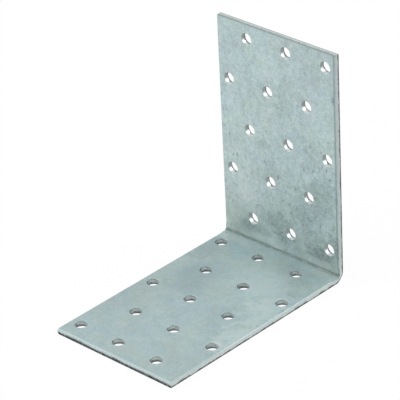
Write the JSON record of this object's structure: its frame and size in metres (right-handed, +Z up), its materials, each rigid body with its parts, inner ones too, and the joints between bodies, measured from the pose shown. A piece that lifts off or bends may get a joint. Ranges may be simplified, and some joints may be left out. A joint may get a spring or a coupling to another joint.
{
  "type": "angle bracket",
  "caption": "Right-angle bracket folded from perforated galvanised sheet steel, with a staggered pattern of punched round holes in both legs.",
  "frame": {"origin": "under the middle of the whole bracket, in the plane of its underside", "axes": "+X along the fold, +Y towards the upright leg's outer face, +Z up along the upright leg"},
  "size_m": [0.0604, 0.099, 0.0994],
  "materials": {
    "galvanised_steel": "satin"
  },
  "bodies": {
    "root": {"bracket": "galvanised_steel"}
  },
  "joints": []
}
